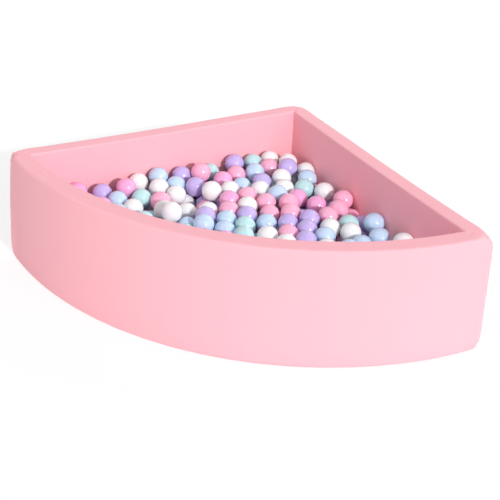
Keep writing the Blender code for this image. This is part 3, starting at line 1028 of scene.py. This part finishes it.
    def sew(self, points: np.ndarray, across: np.ndarray, core: np.ndarray, wall: Wall,
            panel: Panel) -> tuple[np.ndarray, bool]:
        """Sinks the surface at its seams and gives it puckers and slight waves.

        Args:
            points: The smooth surface.
            across: Each point's length across the panel.
            core: Points inside the wall, one for each station.
            wall: Which wall; RIGHT is made as BACK.
            panel: Which panel.

        Returns:
            The shaped surface, and whether the grid's faces look inwards.
        """
        sewing = self.sewing
        normal = np.cross(np.gradient(points, axis=0), np.gradient(points, axis=1))
        normal /= np.linalg.norm(normal, axis=2, keepdims=True)
        inwards = bool((normal * (points - core)).sum(axis=2).mean() < 0)
        normal *= -1 if inwards else 1
        low = across - across[:, :1]
        high = across[:, -1:] - across
        seams = {Panel.OUTER: (high,), Panel.RIM: (low, high), Panel.INNER: (low,)}[panel]
        shift = np.zeros(across.shape)
        for distance in seams:
            shift -= sewing.edge_seam_depth * np.exp(-(distance / sewing.edge_seam_width) ** 2)
        if panel is Panel.OUTER:
            shift -= sewing.hem_depth * np.exp(-((low - sewing.hem_height) / sewing.hem_width) ** 2)
        for point, outwards in self.mitre_planes(wall):
            distance = np.abs((points - np.array(point)) @ np.array(outwards))
            shift -= sewing.mitre_depth * np.exp(-(distance / sewing.mitre_width) ** 2)
            side = np.array(outwards.cross(Vector((0, 0, 1))))
            run = (points @ side) * sewing.pucker_tilt + points[:, :, 2]
            wander = sewing.pucker_wander * np.sin(run * sewing.wanders_per_metre)
            fold = np.sin(run / sewing.pucker_pitch * 2 * math.pi + wander)
            shift += sewing.pucker_depth * fold * np.exp(-distance / sewing.pucker_reach)
        shift += np.array([sewing.wave(point) for point in points.reshape(-1, 3)]).reshape(across.shape)
        return points + normal * shift[:, :, None], inwards

    def build_panel(self, wall: Wall, panel: Panel) -> tuple[Piece, float]:
        """Makes one panel.

        Args:
            wall: Which wall.
            panel: Which panel.

        Returns:
            The piece and the flat area of its cloth.
        """
        points, along, across, core = self.surface(wall, panel)
        shaped, inwards = self.sew(points, across, core, wall, panel)
        piece = laid_grid(f"jersey_{panel.value}_{wall.value}", shaped, along, across)
        with editing(piece):
            self.trim(wall, self.seam_gap)
            if inwards:
                bpy.ops.mesh.flip_normals()
        if panel is Panel.OUTER and wall is not Wall.ARC:
            places = [u - self.shape.centre for u in self.window]
            self.cut_window(piece, np.interp(places, -points[:, 0, 0], along))
        area = surface_area(piece)
        body = piece.modifiers.new("thickness", "SOLIDIFY")
        body.thickness = self.shape.skin
        body.offset = -1
        apply_modifiers(piece)
        smooth(piece, self.sharp_angle)
        return (mirror_over(piece) if wall is Wall.RIGHT else piece), area

    def cut_window(self, piece: Piece, ends: Sequence[float]) -> None:
        """Cuts the zip's window out of the back leg's outer panel.

        Args:
            piece: The panel, with its UV map in metres.
            ends: Where the window starts and ends along the panel.
        """
        with editing(piece):
            bpy.ops.mesh.select_all(action="DESELECT")
        cloth = piece.data.uv_layers["cloth"].data
        for face in piece.data.polygons:
            along, across = (sum(cloth[loop].uv[axis] for loop in face.loop_indices) / face.loop_total
                             for axis in (0, 1))
            inside = ends[0] < along < ends[1] and across < self.window_top - self.shape.foot
            face.select = bool(inside)
        bpy.ops.object.mode_set(mode="EDIT")
        bpy.ops.mesh.select_mode(type="FACE")
        bpy.ops.mesh.delete(type="FACE")
        bpy.ops.mesh.select_mode(type="VERT")
        bpy.ops.object.mode_set(mode="OBJECT")

    def build(self, finish: Finish) -> None:
        """Makes all nine panels.

        Args:
            finish: The jersey.
        """
        for panel in Panel:
            for wall in Wall:
                piece, area = self.build_panel(wall, panel)
                settle(piece, finish, f"cover_{panel.value}_{wall.value}", "pink_jersey")
                long = self.shape.arc_length if wall is Wall.ARC else max(size_of(piece))
                log.info("%s: %.3f m2", piece.name, area)


# Foam, floor and base

@dataclass
class FoamCore:
    """The foam walls inside the cover, and the floor mat."""

    shape: PitShape
    cover: Cover
    room: float = 0.0003
    foot: float = 0.0023
    foot_points: int = 5
    edge_points: int = 7
    weld: float = 0.00001
    mat_bevel: float = 0.0015

    def section(self, edge: float, toe: float) -> list[Pair]:
        """The foam's closed section, just inside the cover.

        Args:
            edge: The outer top edge's rounding.
            toe: How far the outer face comes in at the floor.

        Returns:
            Points (inset, z), the last one the same as the first.
        """
        shape = self.shape
        depth = shape.skin + self.room
        outer, inner = shape.edge_centres(edge)
        heights = (*np.linspace(self.foot, shape.foot_edge, self.foot_points), shape.toe_height)
        line = [(shape.face_inset(z, toe) + depth, z) for z in heights]
        line += edge_line(outer, edge - depth, 0, 90, self.edge_points)
        line += edge_line(inner, shape.inner_edge - depth, 90, 180, self.edge_points)
        line.append((shape.wall + shape.lean * self.foot / shape.height - depth, self.foot))
        return line + line[:1]

    def build_wall(self, wall: Wall) -> Piece:
        """Makes the foam of one wall.

        Args:
            wall: Which wall.

        Returns:
            The piece.
        """
        shape = self.shape
        points = np.array([
            [shape.lying(station, inset, z, wall)
             for inset, z in self.section(shape.edge_radius(station), station.toe)]
            for station in self.cover.stations(wall)])
        unmapped = np.zeros(points.shape[:2])
        piece = laid_grid(f"foam_core_{wall.value}", points, unmapped[:, 0], unmapped)
        with editing(piece):
            bpy.ops.mesh.remove_doubles(threshold=self.weld)
            self.cover.trim(wall, self.room, fill=True)
            bpy.ops.mesh.normals_make_consistent(inside=False)
        return mirror_over(piece) if wall is Wall.RIGHT else piece

    def build(self, foam: Finish) -> None:
        """Makes the three foam walls and the mat.

        Args:
            foam: The foam's finish.
        """
        pieces = {f"foam_wall_{wall.value}": self.build_wall(wall) for wall in Wall}
        mat = copy_of_node("foam_floor_mat", "foam_mat")
        ease_edges(mat, self.mat_bevel, segments=2)
        apply_modifiers(mat)
        for node, piece in {**pieces, "foam_floor_mat": mat}.items():
            smooth(piece)
            settle(piece, foam, node, "foam")
            log.info("%s: %d faces", piece.name, len(piece.data.polygons))


@dataclass
class FloorCloths:
    """The floor cover, which goes down the mat's side, and the base panel under everything."""

    bevel: float = 0.0006
    base_scale: float = 0.986

    def build(self, jersey: Finish, base: Finish) -> None:
        """Makes both cloths.

        Args:
            jersey: The floor cover's finish.
            base: The base's finish.
        """
        floor = copy_of_node("cover_floor", "floor_jersey")
        self.finish_cloth(floor, jersey, "cover_floor", "pink_jersey", hem=size_of(floor)[2])
        panel = copy_of_node("cover_base", "base_panel")
        panel.data.transform(Matrix.Diagonal((self.base_scale, self.base_scale, 1, 1)))
        self.finish_cloth(panel, base, "cover_base", "base_cloth", hem=0)

    def finish_cloth(self, piece: Piece, finish: Finish, node: str, slot: str, hem: float) -> None:
        """Args:
            piece: The cloth.
            finish: Its finish.
            node: The CAD node that it stands for.
            slot: The record's slot for the finish.
            hem: Not used.
        """
        ease_edges(piece, self.bevel, segments=2)
        apply_modifiers(piece)
        mesh = piece.data
        layer = mesh.uv_layers.new(name="cloth")
        for loop in mesh.loops:
            layer.data[loop.index].uv = mesh.vertices[loop.vertex_index].co.xy
        smooth(piece)
        settle(piece, finish, node, slot)
        width, depth, _ = size_of(piece)
        area = surface_area(piece) / 2
        log.info("%s: %.3f m2", piece.name, area)


# Zips

@dataclass
class Zips:
    """The two straight walls' zips, of five parts each."""

    shape: PitShape
    tooth_pitch: float = 0.0016
    tooth_width: float = 0.00085
    tooth_length: float = 0.0030
    tooth_height: float = 0.0011
    tooth_overlap: float = 0.0005
    tooth_bevel_share: float = 0.3
    tape_bevel: float = 0.0002
    metal_bevel: float = 0.00035
    pull_bevel: float = 0.00028
    sharp_angle: float = 35

    def eased_copy(self, part: ZipPart, name: str) -> Piece:
        """The back leg's CAD part with its edges eased.

        Args:
            part: Which part.
            name: The piece's name.

        Returns:
            The piece.
        """
        made = copy_of_node(f"zip_{part.value}_back", name)
        widths = {ZipPart.TAPE: self.tape_bevel, ZipPart.PULL: self.pull_bevel}
        ease_edges(made, widths.get(part, self.metal_bevel), segments=3)
        apply_modifiers(made)
        smooth(made, self.sharp_angle)
        return made

    def teeth(self, name: str) -> Piece:
        """The coil's two rows of teeth, along the back leg's zip.

        Args:
            name: The piece's name.

        Returns:
            The piece.
        """
        low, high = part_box("zip_coil_back")
        shape, pitch, middle = self.shape, self.tooth_pitch, (low + high) / 2
        slope = shape.lean / shape.height - shape.leg_toe / shape.toe_height
        up = Vector((0, -slope, 1)).normalized()
        tilt = Matrix.Rotation(-math.atan2(up.y, up.z), 4, "X")
        rows = []
        for side, start in ((-1, low.x + pitch / 2), (1, low.x + pitch)):
            deselect_all()
            bpy.ops.mesh.primitive_cube_add(size=1)
            tooth = bpy.context.object
            tooth.data.transform(
                Matrix.Diagonal((self.tooth_width, self.tooth_height, self.tooth_length, 1)))
            ease_edges(tooth, self.tooth_width * self.tooth_bevel_share, segments=1)
            row = tooth.modifiers.new("row", "ARRAY")
            row.count = int((high.x - low.x) / pitch)
            row.use_relative_offset = False
            row.use_constant_offset = True
            row.constant_offset_displace = (pitch, 0, 0)
            apply_modifiers(tooth)
            reach = side * (self.tooth_length / 2 - self.tooth_overlap)
            place = Vector((start, middle.y, middle.z)) + up * reach
            tooth.data.transform(Matrix.Translation(place) @ tilt)
            rows.append(tooth)
        made = join(rows, name)
        smooth(made, self.sharp_angle)
        return made

    def build(self, plastic: Finish, metal: Finish) -> None:
        """Makes both zips; the right leg's is the back leg's with X and Y changed over.

        Args:
            plastic: The tape's and the coil's finish.
            metal: The finish of the slider, the pull and the stop.
        """
        for part in ZipPart:
            kind = part.value
            name = f"fine_{kind}_back"
            back = self.teeth(name) if part is ZipPart.COIL else self.eased_copy(part, name)
            soft = part in (ZipPart.TAPE, ZipPart.COIL)
            finish, slot = (plastic, "zip_plastic") if soft else (metal, "zip_metal")
            for piece, side in ((back, "back"), (mirror(back, f"fine_{kind}_right"), "right")):
                moves = part in (ZipPart.SLIDER, ZipPart.PULL)
                settle(piece, finish, f"zip_{kind}_{side}", slot, f"{kind}_{side}" if moves else ROOT_BODY)
                log.info("%s: %d faces", piece.name, len(piece.data.polygons))


# Balls

@dataclass
class BallHeap:
    """The balls: thirty that lie loose on top, those round them, and the layers below.

    Places for balls are tried on a grid in plan. At the left end a few more are heaped up, to a limit
    that rises along the leg from nothing at one u to its full height at another.
    """

    shape: PitShape
    seed: int = 23
    radius: float = 0.0305
    gap: float = 0.0003
    mat_top: float = 0.0446
    core_top: float = 0.1745
    level: float = 0.0001
    rest_room: float = 0.004
    heap_rise: Pair = (0.64, 0.71)
    heap_top: float = 0.240
    heap_end: float = 0.95
    heap_depth: float = 0.45
    heap_step: float = 0.002
    fill_top: float = 0.197
    fill_reach: float = 0.45
    fill_step: float = 0.004
    hair: float = 1e-7
    loose_cuts: int = 11
    bed_cuts: int = 5
    fill_cuts: int = 3

    @property
    def apart(self) -> float:
        """The least distance between two balls' centres."""
        return 2 * self.radius + self.gap

    def wall_room(self, z: float) -> float:
        """The least inset of a ball's centre at a height."""
        return self.shape.wall + self.shape.lean * z / self.shape.height + self.radius + self.gap

    def template(self, cuts: int) -> Piece:
        """A ball of square faces round the origin, modelled once and then copied.

        Args:
            cuts: The cuts along each edge of the cube that it starts from.

        Returns:
            The ball.
        """
        deselect_all()
        bpy.ops.mesh.primitive_cube_add(size=2 * self.radius)
        made = bpy.context.object
        with editing(made):
            bpy.ops.mesh.subdivide(number_cuts=cuts)
        for vertex in made.data.vertices:
            vertex.co = vertex.co.normalized() * self.radius
        bpy.ops.object.shade_smooth()
        return made

    def copy_at(self, template: Piece, centre: Vector, name: str, rng: random.Random) -> Piece:
        """Copies the ball to its place, turned at random, and marks its parting line.

        Args:
            template: The ball to copy.
            centre: Where it goes.
            name: The copy's name.
            rng: The random source.

        Returns:
            The copy.
        """
        made = add_object(name, template.data.copy())
        turns = [rng.uniform(-1, 1) for _ in range(4)]
        turned = Matrix.Rotation(turns[0] * HALF_TURN, 4, Vector(turns[1:]).normalized())
        marks = made.data.attributes.new("parting", "FLOAT", "POINT")
        marks.data.foreach_set("value", [vertex.co.z for vertex in made.data.vertices])
        made.data.transform(Matrix.Translation(centre) @ turned)
        return made

    def bedded_centres(self, loose: Sequence[Vector]) -> list[Vector]:
        """Finds the joined balls' centres: each has its highest point straight above.

        Args:
            loose: The loose balls' centres; what lies straight below one only carries it.

        Returns:
            The centres.
        """
        bed = copy_of_node("ball_bed", "bed_copy")
        points = bed.data.vertices
        sides = {point.index for point in points if point.co.z <= self.core_top + self.gap}
        for edge in bed.data.edges:
            for a, b in (edge.vertices, reversed(edge.vertices)):
                if points[a].co.z < points[b].co.z + self.level:
                    sides.add(a)
        found = [point.co - Vector((0, 0, self.radius)) for point in points if point.index not in sides]
        bpy.data.objects.remove(bed)
        return [ball for ball in found
                if min((ball.xy - other.xy).length for other in loose) > self.rest_room]

    def heaped_centres(self, bedded: Sequence[Vector], loose: Sequence[Vector]) -> list[Vector]:
        """Heaps more balls on the bedded ones at the pit's left end, each in the lowest hollow.

        Args:
            bedded: The centres of the balls that they lie on.
            loose: The loose balls' centres; nothing lies where one of them lifts out.

        Returns:
            The centres of the balls added.
        """
        shape, apart = self.shape, self.apart
        room = self.wall_room(self.heap_top)
        u, v = (axis.ravel() for axis in np.meshgrid(
            np.arange(self.heap_rise[0], self.heap_end, self.heap_step),
            np.arange(room, self.heap_depth, self.heap_step)))
        free = np.hypot(u, v) < shape.leg - room
        for ball in loose:
            free &= np.hypot(shape.centre - u - ball.x, shape.centre - v - ball.y) > apart
        u, v = u[free], v[free]
        limit = np.interp(u, self.heap_rise, (0, self.heap_top))
        lying, found = list(bedded), []
        while True:
            rest = np.zeros(u.shape)
            for ball in lying:
                away = (shape.centre - u - ball.x) ** 2 + (shape.centre - v - ball.y) ** 2
                rise = np.sqrt(np.maximum(apart * apart - away, 0))
                rest = np.maximum(rest, np.where(away < apart * apart, ball.z + rise, 0))
            spare = np.where(rest < limit, rest, np.inf)
            best = int(spare.argmin())
            if not math.isfinite(spare[best]):
                return found
            found.append(shape.world(u[best], v[best], rest[best]))
            lying.append(found[-1])

    def sink(self, spots: np.ndarray, near: np.ndarray, taken: Sequence[np.ndarray]) -> None:
        """Lowers places clear of every taken ball.

        Args:
            spots: All the places (xyz, place); their heights are changed.
            near: Which of them to lower.
            taken: The taken balls' centres.
        """
        moved = True
        while moved:
            moved = False
            for centre in taken:
                away = (spots[0, near] - centre[0]) ** 2 + (spots[1, near] - centre[1]) ** 2
                half = np.sqrt(np.maximum(self.apart * self.apart - away, 0))
                low = np.abs(spots[2, near] - centre[2]) < half - self.hair
                if low.any():
                    spots[2, near] = np.where(low, centre[2] - half, spots[2, near])
                    moved = True

    def filled_centres(self, upper: Sequence[Vector]) -> list[Vector]:
        """Fills the pit below the upper balls, each time where a ball can lie highest.

        Args:
            upper: The centres that are already taken.

        Returns:
            The centres of the balls below.
        """
        shape, apart = self.shape, self.apart
        marks = np.arange(-self.fill_reach, self.fill_reach, self.fill_step)
        x, y = (axis.ravel() for axis in np.meshgrid(marks, marks))
        room = self.wall_room(self.fill_top)
        u, v = shape.centre - x, shape.centre - y
        inside = (u > room) & (v > room) & (np.hypot(u, v) < shape.leg - room)
        spots = np.stack([x, y, np.full(x.shape, self.fill_top)])[:, inside]
        taken = [np.array(centre) for centre in upper]
        self.sink(spots, np.arange(spots.shape[1]), taken)
        found = []
        while spots[2].max() > self.mat_top + self.radius:
            centre = spots[:, int(spots[2].argmax())].copy()
            found.append(Vector(centre))
            taken.append(centre)
            near = np.flatnonzero((spots[0] - centre[0]) ** 2 + (spots[1] - centre[1]) ** 2 < apart * apart)
            self.sink(spots, near, [ball for ball in taken
                                    if math.hypot(ball[0] - centre[0], ball[1] - centre[1]) < 2 * apart])
        return found

    def build_loose(self, finishes: dict[str, Finish], rng: random.Random) -> list[Vector]:
        """Makes the loose balls, each on its own body.

        Args:
            finishes: The finish of each ball slot.
            rng: The random source.

        Returns:
            Their centres.
        """
        template = self.template(self.loose_cuts)
        nodes = {node for node in frame["nodes"] if node.startswith("ball_")} - {"ball_bed"}
        centres = []
        for node in sorted(nodes):
            low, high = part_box(node)
            centres.append((low + high) / 2)
            slot = frame["nodes"][node].data.materials[0].name.split(".")[0]
            piece = self.copy_at(template, centres[-1], f"loose_{node}", rng)
            settle(piece, finishes[slot], node, slot, body=node)
        bpy.data.objects.remove(template)
        log.info("%d loose balls", len(centres))
        return centres

    def build(self, finishes: dict[str, Finish]) -> None:
        """Makes the loose balls and, joined by colour, the others.

        Args:
            finishes: The finish of each ball slot.
        """
        rng = random.Random(self.seed)
        loose = self.build_loose(finishes, rng)
        bedded = self.bedded_centres(loose)
        bedded += self.heaped_centres(bedded, loose)
        below = self.filled_centres(loose + bedded)
        log.info("%d bedded balls, %d below them", len(bedded), len(below))
        groups: dict[str, list[Piece]] = {finish.slot: [] for finish in BALL_FINISHES}
        shares = [finish.share for finish in BALL_FINISHES]
        for cuts, centres in ((self.bed_cuts, bedded), (self.fill_cuts, below)):
            template = self.template(cuts)
            for centre in centres:
                slot = rng.choices(BALL_FINISHES, shares)[0].slot
                groups[slot].append(self.copy_at(template, centre, "one_ball", rng))
            bpy.data.objects.remove(template)
        for slot, balls in groups.items():
            piece = join(balls, slot + "_heap")
            settle(piece, finishes[slot], "ball_bed", slot)
            log.info("%s: %d balls", piece.name, len(balls))


# Camera and light

@dataclass(frozen=True)
class Lamp:
    """A sun lamp: where it stands round the object, how strong and how soft it is; angles in degrees.

    The light of one that is over the wall falls on the balls without the front and right walls' shadows.
    """

    name: str
    azimuth: float
    elevation: float
    strength: float
    softness: float
    over_wall: bool = False


@dataclass
class Studio:
    """The camera, the lamps, an even white room and the floor.

    The lens and its offset are in pixels of the picture, the sensor in millimetres. To the camera the
    floor glows, and its shade adds what the lamps light up, so that only the object's shadow is darker.
    """

    azimuth: float = -28.307141
    elevation: float = 29.709009
    roll: float = 2.312070
    focal_pixels: float = 1002.19667
    offset: Pair = (-16.643, -3.389)
    distance: float = 2.80889
    target: tuple[float, float, float] = (0, 0, 0.175)
    pixels: int = 500
    sensor: float = 36
    fill_strength: float = 0.50
    floor_size: float = 12
    floor_drop: float = 0.0004
    floor_white: float = 0.82
    floor_glow: float = 0.66
    floor_shade: float = 0.35
    lamps: tuple[Lamp, ...] = (
        Lamp("sun", 5.7, 24, 2.30, 2, over_wall=True), Lamp("soft_front", 30, 20, 0.52, 40, over_wall=True),
        Lamp("soft_left", -90, 25, 0.68, 50), Lamp("soft_right", 110, 30, 0.72, 50))

    @staticmethod
    def direction(azimuth: float, elevation: float) -> Vector:
        """The unit vector towards a place round the object; both angles are in degrees."""
        a, e = math.radians(azimuth), math.radians(elevation)
        return Vector((math.sin(a) * math.cos(e), -math.cos(a) * math.cos(e), math.sin(e)))

    def add_camera(self) -> None:
        """Places the camera."""
        back = self.direction(self.azimuth, self.elevation)
        right = Vector((math.cos(math.radians(self.azimuth)), math.sin(math.radians(self.azimuth)), 0))
        up = back.cross(right)
        turn = math.radians(self.roll)
        across = right * math.cos(turn) + up * math.sin(turn)
        upwards = up * math.cos(turn) - right * math.sin(turn)
        data = bpy.data.cameras.new("camera")
        data.sensor_width = self.sensor
        data.lens = self.focal_pixels * self.sensor / self.pixels
        data.shift_x = -self.offset[0] / self.pixels
        data.shift_y = self.offset[1] / self.pixels
        made = add_object("camera", data)
        turned = Matrix((across, upwards, back)).transposed().to_4x4()
        made.matrix_world = Matrix.Translation(Vector(self.target) + back * self.distance) @ turned
        bpy.context.scene.camera = made

    @staticmethod
    def seen(tree: Tree) -> Socket:
        """Tells what the camera sees, straight, in a shine or through something.

        Args:
            tree: The tree to add the nodes to.

        Returns:
            A socket that is 1 for such rays and 0 for others.
        """
        path = add_node(tree, "ShaderNodeLightPath")
        shine = math_node(tree, "MAXIMUM", path.outputs["Is Glossy Ray"], path.outputs["Is Transmission Ray"])
        return math_node(tree, "MAXIMUM", path.outputs["Is Camera Ray"], shine)

    def add_lights(self) -> None:
        """Adds the lamps and the room's even light, which the camera sees as plain white."""
        for lamp in self.lamps:
            data = bpy.data.lights.new(lamp.name, "SUN")
            data.energy = lamp.strength
            data.angle = math.radians(lamp.softness)
            towards = self.direction(lamp.azimuth, lamp.elevation)
            add_object(lamp.name, data).rotation_euler = towards.to_track_quat("Z", "Y").to_euler()
        world = bpy.data.worlds.new("room")
        world.use_nodes = True
        bpy.context.scene.world = world
        tree = world.node_tree
        extra = math_node(tree, "MULTIPLY", self.seen(tree), 1 - self.fill_strength)
        background = tree.nodes["Background"]
        set_inputs(background, Color=(1, 1, 1, 1))
        wire(tree, (math_node(tree, "ADD", extra, self.fill_strength), background.inputs["Strength"]))

    def lift_wall_shadow(self) -> None:
        """Keeps the front and right walls' shadows off the balls, as the photograph has it."""
        casters = bpy.data.collections.new("shadow_casters")
        for piece in bpy.context.scene.objects:
            if piece.type == "MESH" and not piece.name.endswith(("_arc", "_right")):
                casters.objects.link(piece)
        for lamp in self.lamps:
            if lamp.over_wall:
                bpy.data.objects[lamp.name].light_linking.blocker_collection = casters

    def add_floor(self) -> None:
        """Adds the white floor, where the object's shadow is pale: the photograph shows hardly any."""
        deselect_all()
        bpy.ops.mesh.primitive_plane_add(size=self.floor_size, location=(0, 0, -self.floor_drop))
        floor = bpy.context.object
        floor.name = "floor"
        made, shader = new_material("floor_white", Base_Color=(*[self.floor_white] * 3, 1), Roughness=1)
        tree = made.node_tree
        glow = add_node(tree, "ShaderNodeEmission")
        set_inputs(glow, Strength=self.floor_glow)
        shade = add_node(tree, "ShaderNodeBsdfDiffuse")
        set_inputs(shade, Color=(*[self.floor_shade] * 3, 1))
        both = add_node(tree, "ShaderNodeAddShader")
        mix = add_node(tree, "ShaderNodeMixShader")
        wire(tree, (glow.outputs[0], both.inputs[0]), (shade.outputs[0], both.inputs[1]),
             (self.seen(tree), mix.inputs[0]), (shader.outputs[0], mix.inputs[1]),
             (both.outputs[0], mix.inputs[2]),
             (mix.outputs[0], tree.nodes["Material Output"].inputs["Surface"]))
        dress(floor, made)

    def build(self) -> None:
        """Sets the scene up."""
        bpy.context.scene.view_settings.view_transform = "Standard"
        self.add_camera()
        self.add_lights()
        self.add_floor()


def main() -> None:
    """Builds the ball pit round its frame."""
    logging.basicConfig(level=logging.INFO, format="%(name)s: %(message)s")
    studio = Studio()
    studio.build()
    knit, pore, parting = knit_group(), pore_group(), parting_group()
    jersey = JERSEY.make(knit)
    shape = PitShape()
    low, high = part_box("zip_tape_back")
    cover = Cover(shape, CoverSewing(), window=(shape.centre - high.x, shape.centre - low.x))
    cover.build(jersey)
    FoamCore(shape, cover).build(OPEN_FOAM.make(pore))
    FloorCloths().build(jersey, BASE_WEAVE.make(pore))
    Zips(shape).build(ZIP_NYLON.make(), ZIP_ENAMEL.make())
    BallHeap(shape).build({finish.slot: finish.make(parting) for finish in BALL_FINISHES})
    studio.lift_wall_shadow()


if __name__ == "__main__":
    main()
